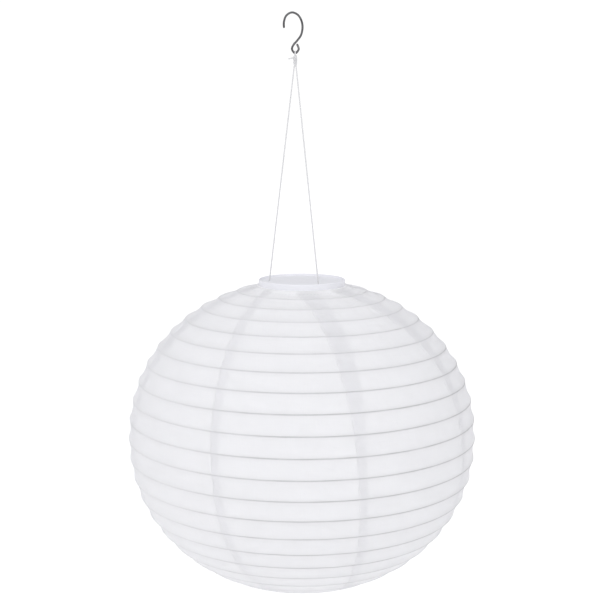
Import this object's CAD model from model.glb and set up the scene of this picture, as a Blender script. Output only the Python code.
"""Looks of a hanging accordion globe lantern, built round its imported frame. Metres, Z up, front -Y."""

import math

import bpy
import numpy as np
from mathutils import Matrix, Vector


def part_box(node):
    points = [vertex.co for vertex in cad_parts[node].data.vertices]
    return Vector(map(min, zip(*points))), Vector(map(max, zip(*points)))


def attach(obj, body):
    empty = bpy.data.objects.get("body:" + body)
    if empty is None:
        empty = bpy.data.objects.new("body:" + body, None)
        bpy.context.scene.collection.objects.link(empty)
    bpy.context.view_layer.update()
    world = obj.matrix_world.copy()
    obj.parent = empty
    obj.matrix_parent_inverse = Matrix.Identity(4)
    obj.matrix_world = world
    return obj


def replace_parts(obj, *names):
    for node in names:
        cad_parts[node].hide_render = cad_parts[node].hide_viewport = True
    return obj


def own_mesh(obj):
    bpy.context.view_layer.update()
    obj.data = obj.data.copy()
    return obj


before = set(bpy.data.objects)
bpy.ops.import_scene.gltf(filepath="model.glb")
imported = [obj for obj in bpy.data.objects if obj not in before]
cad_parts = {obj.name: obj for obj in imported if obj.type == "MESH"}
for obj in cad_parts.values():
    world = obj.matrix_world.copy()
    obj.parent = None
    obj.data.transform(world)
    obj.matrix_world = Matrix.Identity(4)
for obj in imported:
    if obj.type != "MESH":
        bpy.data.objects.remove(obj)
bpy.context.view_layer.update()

MM = 0.001

# ---------------------------------------------------------------- what the frame says


def middle(node):
    lo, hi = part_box(node)
    return (lo + hi) / 2


def hoop_of(node):
    """Ring radius, height and wire radius of a hoop, from its box."""
    lo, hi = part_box(node)
    wire = (hi.z - lo.z) / 2
    return (hi.x - lo.x) / 2 - wire, (hi.z + lo.z) / 2, wire


RIBS = sorted(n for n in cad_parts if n.startswith("rib_"))
GORES = sorted(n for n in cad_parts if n.startswith("gore_"))
HOOPS = ["top_hoop", *RIBS, "bottom_hoop"]
BANDS = len(HOOPS) - 1
AXIS = middle(RIBS[len(RIBS) // 2])

# Cloth over the wires: its thickness, its gap to a wire, how it rounds over one, how far it pulls in
# between two, and the share by which it pulls in less beside a seam
CLOTH = 0.16 * MM
CLOTH_GAP = 0.16 * MM
CREASE_ROUND = 0.3 * MM
SAG = 1.2 * MM
SEAM_TAUT = 0.22
# Seams: where the first one stands, and how the cloth leans from the top hoop to the bottom one
SEAM_START = math.radians(-72)
SEAM_SHIFT = -2.7 * MM
SEAM_LEAN = 1.3 * MM
GORE_ANGLE = 2 * math.pi / len(GORES)
# Seam allowance: its width at the top and from the middle down, how much narrower it is on some seams,
# and the bands between which it narrows
ALLOWANCE_TOP = 16.5 * MM
ALLOWANCE_LOW = 6.8 * MM
ALLOWANCE_TRIM = 8.0 * MM
NARROW_FROM = 4.0
NARROW_TO = 11.5
ALLOWANCE_CLOTH = 0.1 * MM
LAYER_GAP = 0.03 * MM

# Where the outside of the cloth passes over each hoop, as radius and height, and which way is out there
hoops = np.array([hoop_of(n) for n in HOOPS])
order = np.arange(BANDS + 1)
run = hoops[np.minimum(order + 1, BANDS), :2] - hoops[np.maximum(order - 1, 0), :2]
crease_out = np.stack([-run[:, 1], run[:, 0]], 1) / np.linalg.norm(run, axis=1)[:, None]
hem_reach = (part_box("top_hem")[1].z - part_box("top_hem")[0].z) / 2
cover = np.full(BANDS + 1, hoops[1, 2])
cover[[0, -1]] = hem_reach
crease = hoops[:, :2] + crease_out * (cover + CLOTH_GAP + CLOTH)[:, None]
BAND = float(np.linalg.norm(crease[BANDS // 2] - crease[BANDS // 2 - 1]))


def smoothstep(lo, hi, value):
    t = np.clip((value - lo) / (hi - lo), 0, 1)
    return t * t * (3 - 2 * t)


def radius_at(c):
    """Radius of the shade at place c, from 0 at the top hoop to BANDS at the bottom one."""
    return np.interp(c, order, crease[:, 0])


def round_axis(radius, angle, z):
    """Points round the shade's axis."""
    return np.stack([AXIS.x + radius * np.cos(angle), AXIS.y + radius * np.sin(angle), z], -1)


def seam_angle(index, c):
    """Where seam number index stands at place c."""
    shift = SEAM_SHIFT + SEAM_LEAN * (c - BANDS / 2)
    return SEAM_START + index * GORE_ANGLE + shift / radius_at(c)


def shade_point(c, angle, depth):
    """The point at place c and angle, in by depth from the straight line between two creases."""
    i = np.clip(c.astype(int), 0, BANDS - 1)
    t = (c - i)[..., None]
    flat = crease[i] * (1 - t) + crease[i + 1] * t
    out = crease_out[i] * (1 - t) + crease_out[i + 1] * t
    out /= np.linalg.norm(out, axis=-1, keepdims=True)
    at = flat - out * depth[..., None]
    return round_axis(at[..., 0], angle, at[..., 1])


# Waves of the cloth round the shade: how many there are, and how deep. They grow toward a seam.
WAVES = ((5, 0.09 * MM), (23, 0.06 * MM), (37, 0.06 * MM), (61, 0.05 * MM), (89, 0.035 * MM))
WAVE_GROWTH = 1.6
wave_phase = np.random.default_rng(7).uniform(0, 2 * math.pi, (len(WAVES), BANDS + 1))
# A seam: how far its pull reaches, the depth and width of its groove, and the puffed edge beside the groove
SEAM_PULL = 7 * MM
GROOVE = (0.22 * MM, 0.6 * MM)
PUFF = (-0.07 * MM, 1.8 * MM, 1.1 * MM)


def band_shape(c):
    """0 at a crease and 1 in the middle of a band, rounded over the wire."""
    d = np.minimum(c % 1, 1 - c % 1) * BAND
    soft = np.hypot(d, CREASE_ROUND) - CREASE_ROUND
    most = math.hypot(BAND / 2, CREASE_ROUND) - CREASE_ROUND
    return 1 - (1 - soft / most) ** 2


def cloth_depth(c, angle, from_seam):
    """How far in the outside of the cloth lies; from_seam is the distance to the nearest seam."""
    i = np.clip(c.astype(int), 0, BANDS - 1)
    shape = band_shape(c)
    near = np.exp(-from_seam / SEAM_PULL)
    waves = sum(
        size * (1 + WAVE_GROWTH * near) * np.sin(count * angle + wave_phase[k][i])
        for k, (count, size) in enumerate(WAVES)
    )
    groove = GROOVE[0] * np.exp(-((from_seam / GROOVE[1]) ** 2))
    puff = PUFF[0] * np.exp(-(((from_seam - PUFF[1]) / PUFF[2]) ** 2))
    return shape * (SAG * (1 - SEAM_TAUT * near) + waves + puff) + groove * (0.35 + 0.65 * shape)


# ---------------------------------------------------------------- mesh helpers


def new_object(name, points, faces, material, uvs=None, smooth=True):
    mesh = bpy.data.meshes.new(name)
    mesh.from_pydata(np.asarray(points, float).reshape(-1, 3).tolist(), [], faces)
    mesh.validate()
    mesh.polygons.foreach_set("use_smooth", [smooth] * len(mesh.polygons))
    loops = np.zeros(len(mesh.loops), np.int32)
    mesh.loops.foreach_get("vertex_index", loops)
    for layer, values in (uvs or {}).items():
        made = mesh.uv_layers.new(name=layer)
        made.data.foreach_set("uv", np.asarray(values, np.float32).reshape(-1, 2)[loops].ravel())
    for one in [material] if isinstance(material, bpy.types.Material) else material:
        mesh.materials.append(one)
    obj = bpy.data.objects.new(name, mesh)
    bpy.context.scene.collection.objects.link(obj)
    return obj


def shell(outer, inner, round_=False):
    """Points and faces of a thin closed sheet between two grids. round_ joins its two sides."""
    rows, cols = outer.shape[:2]
    points = np.concatenate([outer.reshape(-1, 3), inner.reshape(-1, 3)])
    half = rows * cols
    last = cols if round_ else cols - 1
    faces = []
    for r in range(rows - 1):
        for k in range(last):
            n = (k + 1) % cols
            a, b, c, d = r * cols + k, r * cols + n, (r + 1) * cols + n, (r + 1) * cols + k
            faces.append((a, d, c, b))
            faces.append((half + a, half + b, half + c, half + d))
    for k in range(last):
        n = (k + 1) % cols
        end = (rows - 1) * cols
        faces.append((k, n, half + n, half + k))
        faces.append((end + n, end + k, half + end + k, half + end + n))
    if not round_:
        for r in range(rows - 1):
            a, b = r * cols, (r + 1) * cols
            faces.append((b, a, half + a, half + b))
            a, b = a + cols - 1, b + cols - 1
            faces.append((a, b, half + b, half + a))
    return points, faces


def frames_along(path):
    """Two directions across the path at each of its points, turning as little as they can."""
    ahead = np.gradient(path, axis=0)
    ahead /= np.linalg.norm(ahead, axis=1)[:, None]
    side = np.cross(ahead[0], (0.31, 0.87, 0.39))
    side /= np.linalg.norm(side)
    sides = [side]
    for k in range(1, len(path)):
        side = side - ahead[k] * (side @ ahead[k])
        side /= np.linalg.norm(side)
        sides.append(side)
    sides = np.array(sides)
    return sides, np.cross(ahead, sides)


def tube(path, radius, sides=8):
    """Points and faces of a round tube along a path. radius is one number or one for each point."""
    path = np.asarray(path, float)
    across, up = frames_along(path)
    radius = np.broadcast_to(radius, len(path))[:, None, None]
    turn = np.arange(sides) * 2 * math.pi / sides
    ring = across[:, None] * np.cos(turn)[None, :, None] + up[:, None] * np.sin(turn)[None, :, None]
    points = (path[:, None] + radius * ring).reshape(-1, 3)
    faces = [
        (r * sides + k, r * sides + (k + 1) % sides, (r + 1) * sides + (k + 1) % sides, (r + 1) * sides + k)
        for r in range(len(path) - 1)
        for k in range(sides)
    ]
    faces.append(tuple(reversed(range(sides))))
    faces.append(tuple((len(path) - 1) * sides + k for k in range(sides)))
    return points, faces


def joined(parts):
    """Several (points, faces) as one."""
    points, faces, start = [], [], 0
    for p, f in parts:
        points.append(p)
        faces += [tuple(start + v for v in face) for face in f]
        start += len(p)
    return np.concatenate(points), faces


def resampled(path, step):
    """The same path with its points about step apart, and the length at each."""
    path = np.asarray(path, float)
    length = np.concatenate([[0], np.cumsum(np.linalg.norm(np.diff(path, axis=0), axis=1))])
    at = np.linspace(0, length[-1], max(3, int(length[-1] / step) + 1))
    return np.stack([np.interp(at, length, path[:, k]) for k in range(3)], 1), at


def curve_through(points, steps=12):
    """Catmull-Rom curve through a list of points."""
    p = np.array([points[0], *points, points[-1]], float)
    t = (np.arange(steps) / steps)[:, None]
    made = [
        0.5 * (2 * b + (c - a) * t + (2 * a - 5 * b + 4 * c - d) * t**2 + (3 * b - a - 3 * c + d) * t**3)
        for a, b, c, d in zip(p, p[1:], p[2:], p[3:])
    ]
    return np.concatenate([*made, p[-1:]])


# A string's plies: how many, the length of one turn, and as shares of the string's radius how far out
# they lie, their radius and the radius of the core that they hide
PLIES = 3
PLY_PITCH = 3.4 * MM
PLY_OUT = 0.5
PLY_RADIUS = 0.52
PLY_CORE = 0.62
PLY_SIDES = 6
STEPS_A_TURN = 9


def string_along(path, radius):
    """The plies of a twisted string along a path."""
    path, at = resampled(path, PLY_PITCH / STEPS_A_TURN)
    across, up = frames_along(path)
    made = []
    for k in range(PLIES):
        turn = 2 * math.pi * (at / PLY_PITCH + k / PLIES)
        off = across * np.cos(turn)[:, None] + up * np.sin(turn)[:, None]
        made.append(tube(path + off * radius * PLY_OUT, radius * PLY_RADIUS, PLY_SIDES))
    return joined([*made, tube(path[::4], radius * PLY_CORE, PLY_SIDES)])


def dress_threads(piece, first):
    """Give the faces from number first on the piece's second material, which is its thread."""
    for polygon in piece.data.polygons[first:]:
        polygon.material_index = 1


# ---------------------------------------------------------------- materials


def add(tree, kind, inputs=None, **settings):
    """A node with its settings and inputs; an input that is a socket is linked."""
    made = tree.nodes.new(kind)
    for key, value in settings.items():
        setattr(made, key, value)
    for key, value in (inputs or {}).items():
        if isinstance(value, bpy.types.NodeSocket):
            tree.links.new(value, made.inputs[key])
        else:
            made.inputs[key].default_value = value
    return made


def maths(tree, operation, a, b=0.0, c=0.0):
    return add(tree, "ShaderNodeMath", {0: a, 1: b, 2: c}, operation=operation).outputs[0]


def blend_colour(tree, share, a, b):
    made = add(tree, "ShaderNodeMix", data_type="RGBA")
    for key, value in ((0, share), (6, a), (7, b)):
        if isinstance(value, bpy.types.NodeSocket):
            tree.links.new(value, made.inputs[key])
        else:
            made.inputs[key].default_value = value if key == 0 else (*value, 1.0)
    return made.outputs[2]


def speckle(tree, where, size, detail=2.0, stretch=(1.0, 1.0, 1.0)):
    """Noise with spots about size metres across, from 0 to 1."""
    scaled = add(tree, "ShaderNodeMapping", {"Vector": where, "Scale": stretch})
    made = add(tree, "ShaderNodeTexNoise", {"Vector": scaled.outputs[0], "Scale": 1 / size, "Detail": detail})
    return made.outputs["Fac"]


def mapped(tree, value, start, end, lo, hi, how="LINEAR"):
    """A value's run from start to end turned into one from lo to hi."""
    inputs = {"Value": value, 1: start, 2: end, 3: lo, 4: hi}
    return add(tree, "ShaderNodeMapRange", inputs, interpolation_type=how).outputs[0]


def ranged(tree, value, lo, hi):
    """A value that runs about 0.3 to 0.7, as noise does, spread from lo to hi."""
    return mapped(tree, value, 0.3, 0.7, lo, hi)


def new_material(name):
    made = bpy.data.materials.new(name)
    made.use_nodes = True
    made.node_tree.nodes.clear()
    return made, made.node_tree


def finish_material(tree, shader):
    add(tree, "ShaderNodeOutputMaterial", {"Surface": shader})


def bumped(tree, height, distance):
    return add(tree, "ShaderNodeBump", {"Height": height, "Distance": distance, "Strength": 1.0}).outputs[0]


def see_through(tree, share, colour, normal, **shine):
    """A surface that lets a share of the light through and scatters it."""
    front = add(tree, "ShaderNodeBsdfPrincipled", {"Base Color": colour, "Normal": normal, **shine})
    through = add(tree, "ShaderNodeBsdfTranslucent", {"Color": colour, "Normal": normal})
    both = add(tree, "ShaderNodeMixShader", {0: share, 1: front.outputs[0], 2: through.outputs[0]})
    return both.outputs[0]


def object_place(tree):
    return add(tree, "ShaderNodeTexCoord").outputs["Object"]


def plastic(name, colour, roughness=0.4, mottle=0.03):
    """Moulded plastic: faint flow mottling, a fine texture and scuffs that change its gloss."""
    made, tree = new_material(name)
    place = object_place(tree)
    flow = speckle(tree, place, 14 * MM, 3.0, (1.0, 1.0, 2.2))
    dark = tuple(v * (1 - mottle) for v in colour)
    fine = speckle(tree, place, 0.35 * MM, 3.0)
    scuff = speckle(tree, place, 4 * MM, 5.0)
    height = maths(tree, "MULTIPLY_ADD", scuff, 0.6, fine)
    shader = add(tree, "ShaderNodeBsdfPrincipled", {
        "Base Color": blend_colour(tree, ranged(tree, flow, 0.0, 1.0), dark, colour),
        "Roughness": ranged(tree, scuff, roughness - 0.06, roughness + 0.07),
        "Normal": bumped(tree, height, 0.012 * MM),
    })
    finish_material(tree, shader.outputs[0])
    return made


def metal(name, colour, roughness=0.25, streak=(1.0, 1.0, 1.0), tarnish=0.12):
    """Drawn, rolled or plated metal: fine drawing marks, and patches where the plating has dulled."""
    made, tree = new_material(name)
    place = object_place(tree)
    marks = speckle(tree, place, 0.5 * MM, 4.0, streak)
    patches = speckle(tree, place, 6 * MM, 4.0)
    dull = tuple(v * (1 - tarnish) for v in colour)
    shader = add(tree, "ShaderNodeBsdfPrincipled", {
        "Base Color": blend_colour(tree, ranged(tree, patches, 0.0, 1.0), dull, colour),
        "Metallic": 1.0,
        "Roughness": ranged(tree, marks, roughness - 0.07, roughness + 0.1),
        "Normal": bumped(tree, marks, 0.01 * MM),
    })
    finish_material(tree, shader.outputs[0])
    return made


def thread_material(name, colour, twist=0.5 * MM):
    """Spun thread: fine fibres along it, and fuzz that softens its edges."""
    made, tree = new_material(name)
    place = object_place(tree)
    fibres = speckle(tree, place, twist, 5.0, (2.0, 2.0, 0.6))
    dark = tuple(v * 0.82 for v in colour)
    shader = add(tree, "ShaderNodeBsdfPrincipled", {
        "Base Color": blend_colour(tree, ranged(tree, fibres, 0.0, 1.0), dark, colour),
        "Roughness": 0.75,
        "Normal": bumped(tree, fibres, 0.05 * MM),
        "Sheen Weight": 0.3,
    })
    finish_material(tree, shader.outputs[0])
    return made


# The cloth: the spacing of its threads, and the share of its colour that is left where it lies thick
WEAVE = 0.5 * MM
THICK = 0.955
# The dark line pressed in over each wire: half its width and how dark it is. It fades toward the left,
# between two distances from the axis, and toward the top, between two places
PRESS_HALF = 0.8 * MM
PRESS_TONE = 0.68
PRESS_LEFT = (-0.13, -0.01)
PRESS_LEFT_LEAST = 0.1
PRESS_TOP = (1.0, 9.0)
PRESS_TOP_LEAST = 0.3


def press_lines(tree, flat):
    """How strongly the line over a wire shows. The gore map holds the distance from a seam and c."""
    gore = add(tree, "ShaderNodeUVMap", uv_map="gore").outputs[0]
    c = add(tree, "ShaderNodeSeparateXYZ", {0: gore}).outputs[1]
    from_wire = maths(tree, "PINGPONG", c, 0.5)
    press = mapped(tree, from_wire, 0.0, PRESS_HALF / BAND, 1.0, 0.0, "SMOOTHSTEP")
    x = add(tree, "ShaderNodeSeparateXYZ", {0: object_place(tree)}).outputs[0]
    left, right = (AXIS.x + edge for edge in PRESS_LEFT)
    deep = mapped(tree, x, left, right, PRESS_LEFT_LEAST, 1.0, "SMOOTHSTEP")
    lower = mapped(tree, c, *PRESS_TOP, PRESS_TOP_LEAST, 1.0, "SMOOTHSTEP")
    worn = maths(tree, "MULTIPLY", press, ranged(tree, speckle(tree, flat, 20 * MM, 3.0), 0.55, 0.9))
    return maths(tree, "MULTIPLY", worn, maths(tree, "MULTIPLY", deep, lower))


def cloth_material(name, colour, passes, creases=False):
    """Thin plain-woven cloth that lets a share of the light through. Its weave map is in metres."""
    made, tree = new_material(name)
    flat = add(tree, "ShaderNodeUVMap", uv_map="weave").outputs[0]
    split = add(tree, "ShaderNodeSeparateXYZ", {0: flat})
    across, along = split.outputs[0], split.outputs[1]
    warp = maths(tree, "SINE", maths(tree, "MULTIPLY", across, math.pi / WEAVE))
    weft = maths(tree, "SINE", maths(tree, "MULTIPLY", along, math.pi / WEAVE))
    checks = maths(tree, "MULTIPLY", warp, weft)
    slub_a = speckle(tree, flat, 1.1 * MM, 2.0, (1.0, 0.08, 1.0))
    slub_b = speckle(tree, flat, 1.1 * MM, 2.0, (0.08, 1.0, 1.0))
    slubs = maths(tree, "ADD", slub_a, slub_b)
    ruck = speckle(tree, flat, 9 * MM, 3.0, (1.0, 0.45, 1.0))
    patches = speckle(tree, flat, 26 * MM, 2.0)
    height = maths(tree, "MULTIPLY_ADD", checks, 0.12, slubs)
    normal = bumped(tree, maths(tree, "MULTIPLY_ADD", ruck, 6.0, height), 0.04 * MM)
    thick = tuple(v * THICK for v in colour)
    tinted = blend_colour(tree, ranged(tree, patches, 0.0, 0.35), colour, thick)
    tone = blend_colour(tree, ranged(tree, slub_a, 0.0, 0.25), tinted, thick)
    tone = blend_colour(tree, ranged(tree, slub_b, 0.0, 0.25), tone, thick)
    if creases:
        tone = blend_colour(tree, press_lines(tree, flat), tone, tuple(v * PRESS_TONE for v in colour))
    shine = {"Roughness": 0.7, "Specular IOR Level": 0.15}
    finish_material(tree, see_through(tree, passes, tone, normal, **shine))
    return made


CELL_HALF = 22.25 * MM
CELL_BARE = 1.1 * MM


def cell_material(name, sleeve, band, metal_colour):
    """A cell lying along X: a plain sleeve with one band of another colour, and bare metal at both ends."""
    made, tree = new_material(name)
    place = object_place(tree)
    x = add(tree, "ShaderNodeSeparateXYZ", {0: place}).outputs[0]
    along = maths(tree, "SUBTRACT", x, AXIS.x)
    bare = maths(tree, "GREATER_THAN", maths(tree, "ABSOLUTE", along), CELL_HALF - CELL_BARE)
    stripe = maths(tree, "GREATER_THAN", along, CELL_HALF * 0.55)
    scuff = speckle(tree, place, 2 * MM, 5.0)
    wrap = blend_colour(tree, stripe, sleeve, band)
    wrap = blend_colour(tree, ranged(tree, scuff, 0.0, 0.2), wrap, tuple(v * 0.6 for v in sleeve))
    shader = add(tree, "ShaderNodeBsdfPrincipled", {
        "Base Color": blend_colour(tree, bare, wrap, metal_colour),
        "Metallic": bare,
        "Roughness": ranged(tree, scuff, 0.28, 0.42),
        "Normal": bumped(tree, scuff, 0.01 * MM),
    })
    finish_material(tree, shader.outputs[0])
    return made


def board_material(name):
    """Lacquered circuit board: lacquer over faint raised tracks."""
    made, tree = new_material(name)
    place = object_place(tree)
    cells = add(tree, "ShaderNodeTexVoronoi", {"Vector": place, "Scale": 260.0}, feature="DISTANCE_TO_EDGE")
    tracks = mapped(tree, cells.outputs["Distance"], 0.04, 0.1, 1.0, 0.0)
    shader = add(tree, "ShaderNodeBsdfPrincipled", {
        "Base Color": blend_colour(tree, tracks, (0.86, 0.87, 0.86), (0.78, 0.8, 0.79)),
        "Roughness": ranged(tree, speckle(tree, place, 1 * MM), 0.3, 0.4),
        "Normal": bumped(tree, tracks, 0.03 * MM),
    })
    finish_material(tree, shader.outputs[0])
    return made


def frosted(name):
    """Frosted dome: milky plastic that lets light through, with a fine etched surface."""
    made, tree = new_material(name)
    place = object_place(tree)
    etch = speckle(tree, place, 0.3 * MM, 4.0)
    cloudy = speckle(tree, place, 9 * MM, 3.0)
    colour = blend_colour(tree, ranged(tree, cloudy, 0.0, 1.0), (0.9, 0.9, 0.88), (0.95, 0.95, 0.94))
    normal = bumped(tree, etch, 0.02 * MM)
    finish_material(tree, see_through(tree, 0.35, colour, normal, Roughness=ranged(tree, etch, 0.3, 0.42)))
    return made


shade_cloth = cloth_material("shade_cloth", (0.962, 0.962, 0.968), 0.5, creases=True)
allowance_cloth = cloth_material("allowance_cloth", (0.7, 0.7, 0.74), 0.3)
hem_cloth = cloth_material("hem_cloth", (0.98, 0.98, 0.985), 0.12)
sewing_thread = thread_material("sewing_thread", (0.6, 0.6, 0.64), 0.2 * MM)
hem_thread = thread_material("hem_thread", (0.88, 0.88, 0.9), 0.2 * MM)
string_cotton = thread_material("string_cotton", (0.72, 0.72, 0.73))
hook_steel = metal("hook_steel", (0.15, 0.15, 0.155), 0.12, tarnish=0.4)
hoop_steel = metal("hoop_steel", (0.52, 0.52, 0.53), 0.3, (1.0, 1.0, 6.0))
cap_plastic = plastic("cap_plastic", (0.775, 0.778, 0.815), 0.42)
box_plastic = plastic("box_plastic", (0.8, 0.8, 0.79), 0.45)
switch_plastic = plastic("switch_plastic", (0.035, 0.035, 0.038), 0.4)
screw_steel = metal("screw_steel", (0.66, 0.66, 0.64), 0.25)
spring_steel = metal("spring_steel", (0.75, 0.75, 0.74), 0.16, tarnish=0.05)
contact_brass = metal("contact_brass", (0.78, 0.66, 0.4), 0.22)
cell_skin = cell_material("cell_skin", (0.02, 0.11, 0.09), (0.55, 0.57, 0.55), (0.72, 0.72, 0.7))
board_lacquer = board_material("board_lacquer")
led_phosphor = plastic("led_phosphor", (0.95, 0.78, 0.18), 0.25, mottle=0.08)
led_case = plastic("led_case", (0.85, 0.85, 0.83), 0.35)
diffuser_frost = frosted("diffuser_frost")

# ---------------------------------------------------------------- CAD nodes that stay as they are

NODE_MATERIALS = {
    "cap": cap_plastic,
    "top_hoop": hoop_steel,
    "bottom_hoop": hoop_steel,
    **{n: hoop_steel for n in RIBS},
    "battery_box": box_plastic,
    "box_screws": screw_steel,
    "cells": cell_skin,
    "contact_springs": spring_steel,
    "contact_plates": contact_brass,
    "lid_pin": screw_steel,
    "light_lid": box_plastic,
    "lid_contacts": contact_brass,
    "led_board": board_lacquer,
    "diffuser": diffuser_frost,
    "switch_body": switch_plastic,
    "switch_knob": switch_plastic,
}


def dress_nodes():
    for name, material in NODE_MATERIALS.items():
        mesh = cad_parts[name].data
        mesh.materials.clear()
        mesh.materials.append(material)


# ---------------------------------------------------------------- the shade

# Where a gore's columns of points stand beside its seams, as shares of its width, how many more there
# are between, and where the rows stand in each band
GORE_SIDE_SHARES = (0.0, 0.0022, 0.005, 0.009, 0.0145, 0.0225)
GORE_COLUMNS = 34
BAND_SHARES = (0.0, 0.028, 0.07, 0.15, 0.3, 0.5, 0.7, 0.85, 0.93, 0.972)


def gore_shares():
    side = np.array(GORE_SIDE_SHARES)
    across = np.linspace(side[-1], 1 - side[-1], GORE_COLUMNS)
    return np.concatenate([side[:-1], across, 1 - side[-2::-1]])


def band_places():
    return np.concatenate([*(k + np.array(BAND_SHARES) for k in range(BANDS)), [BANDS]])


def fold_with_shade(piece):
    """The piece hangs from the top hoop and folds up with the shade."""
    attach(piece, "lantern")
    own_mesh(piece)


def make_gore(index):
    """One gore from its left seam to its right one, as a thin closed sheet of cloth."""
    places = band_places()
    c, share = np.meshgrid(places, gore_shares(), indexing="ij")
    left, right = seam_angle(index, c), seam_angle(index + 1, c)
    width = (right - left) * radius_at(c)
    angle = left + (right - left) * share
    from_left = share * width
    nearest = np.minimum(from_left, width - from_left)
    depth = cloth_depth(c, angle, nearest)
    outer, inner = shade_point(c, angle, depth), shade_point(c, angle, depth + CLOTH)
    points, faces = shell(outer, inner)
    weave = np.stack([from_left - width / 2 + index * 0.2, c * BAND], -1).reshape(-1, 2)
    gore = np.stack([from_left, c], -1).reshape(-1, 2)
    uvs = {"weave": np.concatenate([weave, weave]), "gore": np.concatenate([gore, gore])}
    piece = new_object(f"shade_gore_{index + 1}", points, faces, shade_cloth, uvs)
    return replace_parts(piece, f"gore_{index + 1}")


def allowance_width(index, c):
    """Width of the turned-in cloth, a little wider in the middle of each band than at its hoops."""
    top = ALLOWANCE_TOP - ALLOWANCE_TRIM * (index % 4 == 3)
    wide = ALLOWANCE_LOW + (top - ALLOWANCE_LOW) * (1 - smoothstep(NARROW_FROM, NARROW_TO, c))
    return wide + 0.5 * MM * (band_shape(c) - 0.5)


# The overlocked edge of a seam allowance: the length and width of its zigzag and the radius of its thread
EDGE_STITCH = 2.4 * MM
EDGE_WIDTH = 1.5 * MM
EDGE_THREAD = 0.11 * MM
# How far an allowance may hang off the cloth in the middle of a band
LOOSE_LEAST = 0.12
LOOSE_MOST = 0.3


def make_allowance(index):
    """The turned-in edges of two gores, laid to the right of their seam, with an overlocked edge."""
    places = band_places()[2:-2]
    across = np.array([0.03, 0.2, 0.45, 0.7, 0.86, 0.97, 1.0])
    c, share = np.meshgrid(places, across, indexing="ij")
    out = share * allowance_width(index, c)
    angle = seam_angle(index, c) + out / radius_at(c)
    loose = band_shape(c) * (LOOSE_LEAST + LOOSE_MOST * np.sin(2.7 * c + index) ** 2 * share) * MM
    depth = cloth_depth(c, angle, out) + CLOTH + LAYER_GAP + loose
    rolled = 0.12 * MM * (share > 0.95)
    upper, lower = shade_point(c, angle, depth), shade_point(c, angle, depth + ALLOWANCE_CLOTH + rolled)
    points, faces = shell(upper, lower)
    weave = np.stack([out, c * BAND], -1).reshape(-1, 2)
    steps = np.arange(0.4, BANDS - 0.4, EDGE_STITCH / BAND / 2)
    inner_edge = np.arange(len(steps)) % 2
    reach = allowance_width(index, steps) + 0.12 * MM - EDGE_WIDTH * inner_edge
    at = seam_angle(index, steps) + reach / radius_at(steps)
    under = cloth_depth(steps, at, reach) + CLOTH + LAYER_GAP + ALLOWANCE_CLOTH + 0.15 * MM
    under = under + band_shape(steps) * (LOOSE_LEAST + LOOSE_MOST) * MM
    zigzag = tube(shade_point(steps, at, under), EDGE_THREAD, 4)
    cloth_faces = len(faces)
    all_points, all_faces = joined([(points, faces), zigzag])
    weave = np.concatenate([weave, weave, np.zeros((len(zigzag[0]), 2))])
    name = f"seam_allowance_{index + 1}"
    piece = new_object(name, all_points, all_faces, [allowance_cloth, sewing_thread], {"weave": weave})
    dress_threads(piece, cloth_faces)
    return piece


# A hem: where the turned-up cloth ends and where its row of stitches runs, in bands from the hoop, the
# length of a stitch and the radius of its thread
HEM_FLAP = 0.42
HEM_ROW = 0.3
HEM_STITCH = 3.0 * MM
HEM_THREAD = 0.12 * MM
# The top sleeve fills the corner by the cap's wall: how square it is there, and how much further than
# round it reaches in and up
HEM_SQUARE = 0.35
HEM_INWARD = 1.43
HEM_UPWARD = 1.4


def make_hem(which, end):
    """The sleeve round an end hoop, gathered a little, with a lip at each seam."""
    ring, height, _ = hoop_of(f"{which}_hoop")
    around = np.linspace(0, 2 * math.pi, 360, endpoint=False)
    about = np.linspace(0, 2 * math.pi, 28, endpoint=False)
    a, b = np.meshgrid(around, about, indexing="ij")
    gathers = 0.025 * np.sin(47 * a + 2 * np.sin(3 * a)) + 0.015 * np.sin(113 * a + b)
    seams = [seam_angle(k, np.array(float(end))) for k in range(len(GORES))]
    lumps = sum(0.042 * np.exp(-((np.angle(np.exp(1j * (a - seam))) / 0.03) ** 2)) for seam in seams)
    size = hem_reach * (0.97 + gathers + lumps)
    by_cap = (np.cos(b) < 0) & (end == 0)
    power = np.where(by_cap, HEM_SQUARE, 1.0)
    inward = np.where(by_cap, hem_reach * HEM_INWARD, size)
    upward = np.where(by_cap, size * HEM_UPWARD, size)
    r = ring + inward * np.sign(np.cos(b)) * np.abs(np.cos(b)) ** power
    z = height + upward * np.sign(np.sin(b)) * np.abs(np.sin(b)) ** power
    points = round_axis(r, a, z)
    rows, cols = a.shape
    faces = [
        (k * cols + n, after * cols + n, after * cols + (n + 1) % cols, k * cols + (n + 1) % cols)
        for k, after in ((k, (k + 1) % rows) for k in range(rows))
        for n in range(cols)
    ]
    weave = np.stack([a * ring, b * hem_reach], -1).reshape(-1, 2)
    piece = new_object(f"{which}_hem_sleeve", points, faces, hem_cloth, {"weave": weave})
    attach(piece, "lantern" if which == "top" else "bottom")
    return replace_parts(piece, f"{which}_hem")


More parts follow.
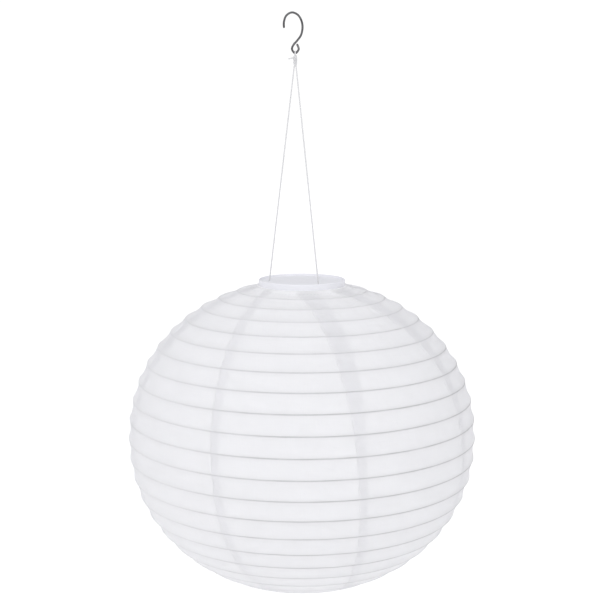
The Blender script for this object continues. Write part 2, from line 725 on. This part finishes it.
def make_hem_flap(which, end):
    """The hem's turned-up cloth inside the shade, and the row of stitches that holds it."""
    inward = 1 if end == 0 else -1
    places = end + inward * np.array([0.03, 0.1, 0.18, 0.27, HEM_ROW, 0.36, HEM_FLAP])
    around = np.linspace(0, 2 * math.pi, 280, endpoint=False)
    c, angle = np.meshgrid(np.sort(places), around, indexing="ij")
    ripple = 0.05 * MM * (1 + np.sin(41 * angle + 3 * c))
    depth = cloth_depth(c, angle, np.full(c.shape, 0.05)) + CLOTH + 0.36 * MM + ripple
    upper, lower = shade_point(c, angle, depth), shade_point(c, angle, depth + ALLOWANCE_CLOTH)
    parts = [shell(upper, lower, round_=True)]
    cloth_faces = len(parts[0][1])
    weave = np.stack([angle * radius_at(c), c * BAND], -1).reshape(-1, 2)
    row = end + inward * HEM_ROW
    count = int(2 * math.pi * radius_at(row) / HEM_STITCH)
    for k in range(count):
        span = (k + np.array([0.12, 0.3, 0.5, 0.7, 0.88])) * 2 * math.pi / count
        here = np.full(5, row)
        under = cloth_depth(here, span, np.full(5, 0.05))
        rise = np.array([0.0, 0.14, 0.18, 0.14, 0.0]) * MM
        inside = under + CLOTH + 0.5 * MM
        parts.append(tube(shade_point(here, span, under - rise), HEM_THREAD, 5))
        parts.append(tube(shade_point(here, span + math.pi / count, inside + rise), HEM_THREAD, 5))
    points, faces = joined(parts)
    threads = len(points) - 2 * len(weave)
    weave = np.concatenate([weave, weave, np.zeros((threads, 2))])
    piece = new_object(f"{which}_hem_flap", points, faces, [hem_cloth, hem_thread], {"weave": weave})
    dress_threads(piece, cloth_faces)
    return piece


TACK_THREAD = 0.11 * MM
TACK_TURNS = 3
TACK_FROM_SEAM = 2.2 * MM


def make_tacks(index):
    """Loops of thread that tie a rib hoop to the seam allowances, one at each seam."""
    ring, height, wire = hoops[index]
    parts = []
    for k in range(len(GORES)):
        at = seam_angle(k, np.array(float(index))) + TACK_FROM_SEAM / ring
        turn = np.linspace(0, 2 * math.pi * TACK_TURNS, 12 * TACK_TURNS + 1)
        reach = wire + TACK_THREAD * 0.9
        angle = at + (turn / (2 * math.pi) - TACK_TURNS / 2) * 0.3 * MM / ring
        path = round_axis(ring + reach * np.cos(turn), angle, height + reach * np.sin(turn))
        parts.append(tube(path, TACK_THREAD, 5))
    piece = new_object(f"rib_tacks_{index:02d}", *joined(parts), sewing_thread)
    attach(piece, RIBS[index - 1])
    return piece


def make_shade():
    flaps = [make_hem_flap("top", 0), make_hem_flap("bottom", BANDS)]
    make_hem("top", 0)
    make_hem("bottom", BANDS)
    for index in range(len(GORES)):
        gore, allowance = make_gore(index), make_allowance(index)
        fold_with_shade(gore)
        fold_with_shade(allowance)
    for flap in flaps:
        fold_with_shade(flap)
    for index in range(1, BANDS):
        make_tacks(index)


# ---------------------------------------------------------------- hook and string

# The wire's centre line across the front, from its open tip to the end of its eye
HOOK_POINTS = (
    (-6.4, -12), (-6.5, -7), (-4.6, -1.8), (0, 0.9), (5, -1), (8, -5.6), (9, -11), (7.9, -17.2),
    (4.8, -21.8), (1.6, -25.4), (0.2, -29.2), (2.9, -32.5), (5.6, -29.8), (5.5, -27.4), (4.2, -24.6),
)
HOOK_WIRE = 0.9 * MM
# The end of the eye bends back behind the shank by this much, over this length
HOOK_TUCK = 1.1 * MM
HOOK_TUCK_RUN = 8 * MM
EYE = Vector((2.9 * MM, 0, -32.5 * MM))
# The wound knot: its foot, the radius and number of its turns, and where the legs would meet inside it
KNOT_Z = -43 * MM
KNOT_WIDE = 1.2 * MM
KNOT_TURNS = 6
LEGS_MEET_Z = -36 * MM
STRING = 0.65 * MM
# The holes in the cap: the direction of each leg's, and the radius of their circle
LEG_HOLES = {"left": 180, "front": -60, "rear": 60}
HOLE_CIRCLE = 28 * MM
STOPPER_KNOT = 0.36 * MM


def make_hook():
    line = curve_through([(x * MM, 0.0, z * MM) for x, z in HOOK_POINTS], 10)
    line, at = resampled(line, 0.5 * MM)
    line[:, 1] += HOOK_TUCK * smoothstep(at[-1] - HOOK_TUCK_RUN, at[-1], at)
    ends = np.minimum(at, at[-1] - at)
    radius = HOOK_WIRE * np.sqrt(np.clip(1 - (1 - np.clip(ends / HOOK_WIRE, 0, 1)) ** 2, 0.02, 1))
    piece = new_object("hook_wire", *tube(line, radius, 20), hook_steel)
    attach(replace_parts(piece, "hook"), "hook")
    return piece


def make_tie():
    """The string's loop round the eye, the turns wound under it and its short tag end."""
    turn = np.linspace(0.5 * math.pi, 2.5 * math.pi, 40)
    reach = HOOK_WIRE + STRING * 1.1
    loop = np.stack([
        EYE.x + 0.25 * MM * np.cos(turn / 2), EYE.y + reach * np.cos(turn), EYE.z + reach * np.sin(turn)
    ], -1)
    wind = np.linspace(0, 1, KNOT_TURNS * 24)
    around = 2 * math.pi * KNOT_TURNS * wind
    top, low = EYE.z - reach - STRING, KNOT_Z + 1.0 * MM
    width = KNOT_WIDE * (0.82 + 0.18 * np.sin(math.pi * wind) ** 0.6)
    coil = np.stack([
        EYE.x + width * np.cos(around), EYE.y + width * np.sin(around), top + (low - top) * wind
    ], -1)
    core = [(EYE.x, 0, top + 0.6 * MM), (EYE.x, 0, (top + low) / 2), (EYE.x, 0, KNOT_Z - 0.4 * MM)]
    tag_x, tag_z = EYE.x - KNOT_WIDE, top - 1.8 * MM
    tag = curve_through([
        (tag_x, 0.4 * MM, tag_z), (tag_x - 1.5 * MM, -0.2 * MM, tag_z + 0.1 * MM),
        (tag_x - 3 * MM, -0.4 * MM, tag_z - 0.3 * MM), (tag_x - 4.6 * MM, -0.6 * MM, tag_z - 0.4 * MM),
    ])
    parts = [string_along(p, STRING) for p in (loop, coil, tag)]
    parts.append(tube(curve_through(core), KNOT_WIDE * 0.8, 10))
    piece = new_object("string_knot", *joined(parts), string_cotton)
    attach(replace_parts(piece, "string_tie"), "tie")
    return piece


def make_leg(which, angle):
    """One leg, from the foot of the wound knot through its hole to the knot that stops it under the cap."""
    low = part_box(f"string_leg_{which}")[0].z
    turn = math.radians(angle)
    hole = Vector((AXIS.x + HOLE_CIRCLE * math.cos(turn), HOLE_CIRCLE * math.sin(turn), low + 3.1 * MM))
    meet = Vector((EYE.x, 0, LEGS_MEET_Z))
    start = meet + (hole - meet) * ((meet.z - KNOT_Z) / (meet.z - hole.z))
    straight = string_along([start, (start + hole) / 2, hole], STRING)
    t = np.linspace(0, 2 * math.pi, 60, endpoint=False)
    knot = np.stack([np.sin(t) + 2 * np.sin(2 * t), np.cos(t) - 2 * np.cos(2 * t), -1.3 * np.sin(3 * t)], -1)
    knot = np.concatenate([knot, knot[:1]]) * STOPPER_KNOT + (hole.x, hole.y, low + 1.5 * MM)
    steps = ((0, 3.2 * MM), (0, 1.5 * MM), (0.5 * MM, 0.2 * MM))
    tail = [(hole.x + out, hole.y, low + up) for out, up in steps]
    parts = [straight, string_along(knot, STRING), string_along(tail, STRING)]
    piece = new_object(f"string_{which}", *joined(parts), string_cotton)
    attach(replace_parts(piece, f"string_leg_{which}"), "lantern")
    return piece


# ---------------------------------------------------------------- lamp details


# A lamp: half its side and half its depth, and the radius of its round window
LED_HALF = 1.4 * MM
LED_DEEP = 0.43 * MM
LED_WINDOW = 1.12 * MM
LED_CIRCLE = 9 * MM


def led_places():
    centre = middle("leds")
    turns = [k * math.pi / 3 for k in range(6)]
    return [centre, *(centre + Vector((math.cos(t), math.sin(t), 0)) * LED_CIRCLE for t in turns)]


def make_leds():
    """Surface-mounted lamps: a white case with a round window of phosphor, which faces down."""
    points, faces, slots = [], [], []
    sides = 24
    turn = np.arange(sides) * 2 * math.pi / sides
    circle = np.stack([np.cos(turn), np.sin(turn)], -1)
    square = np.clip(circle * 1.42, -1, 1) * LED_HALF
    rings = [
        (square, LED_DEEP), (square, 0.08 * MM - LED_DEEP), (square * 0.95, -LED_DEEP),
        (circle * LED_WINDOW, -LED_DEEP), (circle * 1.0 * MM, 0.14 * MM - LED_DEEP),
        (circle * 0.5 * MM, 0.02 * MM - LED_DEEP),
    ]
    # Faces from this ring on are the window's
    window = 4
    for place in led_places():
        start = len(points)
        for flat, z in rings:
            points += [(place.x + x, place.y + y, place.z + z) for x, y in flat]
        for r in range(len(rings) - 1):
            for k in range(sides):
                n = (k + 1) % sides
                a = start + r * sides
                faces.append((a + n, a + k, a + sides + k, a + sides + n))
                slots.append(1 if r >= window else 0)
        faces.append(tuple(start + k for k in range(sides)))
        faces.append(tuple(start + (len(rings) - 1) * sides + k for k in reversed(range(sides))))
        slots += [0, 1]
    piece = new_object("led_lamps", points, faces, [led_case, led_phosphor], smooth=False)
    piece.data.polygons.foreach_set("material_index", slots)
    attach(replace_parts(piece, "leds"), "lid")
    return piece


# ---------------------------------------------------------------- stage, light and camera

FLOOR_Z = -1.8
FLOOR_RADIUS = 30
FLOOR_SIDES = 64


def make_stage():
    made, tree = new_material("floor_paper")
    place = object_place(tree)
    tone = blend_colour(tree, speckle(tree, place, 0.4), (0.93, 0.93, 0.93), (0.95, 0.95, 0.95))
    paper = add(tree, "ShaderNodeBsdfPrincipled", {
        "Base Color": tone, "Roughness": 0.9,
        "Emission Color": (1.0, 1.0, 1.0, 1.0), "Emission Strength": 0.22,
    })
    finish_material(tree, paper.outputs[0])
    turn = np.arange(FLOOR_SIDES) * 2 * math.pi / FLOOR_SIDES
    rim = np.stack([np.cos(turn) * FLOOR_RADIUS, np.sin(turn) * FLOOR_RADIUS, 0 * turn + FLOOR_Z], -1)
    floor = new_object("floor", rim, [tuple(range(FLOOR_SIDES))], made)


# The brightest side of the room, the light from it and from the side across from it, and the white that
# the camera sees behind the object
LIGHT_WAY = Vector((-0.27, -0.67, 0.7)).normalized()
LIGHT_BRIGHT = (1.2, 1.2, 1.22)
LIGHT_DIM = (0.3, 0.3, 0.31)
BACKDROP = (1.05, 1.05, 1.05)


def make_world():
    """Soft light from all round, stronger from the upper left and the front, with white behind the object."""
    world = bpy.data.worlds.new("studio")
    bpy.context.scene.world = world
    world.use_nodes = True
    tree = world.node_tree
    tree.nodes.clear()
    way = add(tree, "ShaderNodeTexCoord").outputs["Generated"]
    facing = add(tree, "ShaderNodeVectorMath", {0: way, 1: LIGHT_WAY}, operation="DOT_PRODUCT")
    share = mapped(tree, facing.outputs["Value"], -1.0, 1.0, 0.0, 1.0)
    light = blend_colour(tree, share, LIGHT_DIM, LIGHT_BRIGHT)
    seen = add(tree, "ShaderNodeLightPath").outputs["Is Camera Ray"]
    shown = blend_colour(tree, seen, light, BACKDROP)
    back = add(tree, "ShaderNodeBackground", {"Color": shown, "Strength": 1.0})
    add(tree, "ShaderNodeOutputWorld", {"Surface": back.outputs[0]})


def area_light(name, at, target, size, power, colour):
    data = bpy.data.lights.new(name, "AREA")
    data.shape = "DISK"
    data.size = size
    data.energy = power
    data.color = colour
    lamp = bpy.data.objects.new(name, data)
    bpy.context.scene.collection.objects.link(lamp)
    lamp.location = at
    lamp.rotation_euler = (Vector(target) - Vector(at)).to_track_quat("-Z", "Y").to_euler()


CAMERA_AT = (6.9 * MM, -1100 * MM, -76.8 * MM)
CAMERA_DOWN = math.radians(8.48)
LENS = 77.7


def make_camera():
    data = bpy.data.cameras.new("camera")
    data.lens = LENS
    data.sensor_width = 36.0
    data.clip_start, data.clip_end = 0.05, 200.0
    camera = bpy.data.objects.new("camera", data)
    bpy.context.scene.collection.objects.link(camera)
    camera.location = CAMERA_AT
    camera.rotation_euler = (math.pi / 2 - CAMERA_DOWN, 0, 0)
    bpy.context.scene.camera = camera


make_camera()
make_stage()
make_world()
area_light("key", (-0.6, -2.1, 1.0), (0, 0, -0.35), 1.2, 5.0, (0.98, 0.99, 1.0))
area_light("rim", (1.0, -0.9, 0.9), (0, 0, 0), 0.5, 2.0, (1.0, 1.0, 1.0))
dress_nodes()
make_shade()
make_hook()
make_tie()
for leg, leg_angle in LEG_HOLES.items():
    make_leg(leg, leg_angle)
make_leds()

scene = bpy.context.scene
scene.view_settings.view_transform = "Standard"
scene.cycles.max_bounces = 20
scene.cycles.diffuse_bounces = 14
scene.cycles.transmission_bounces = 12
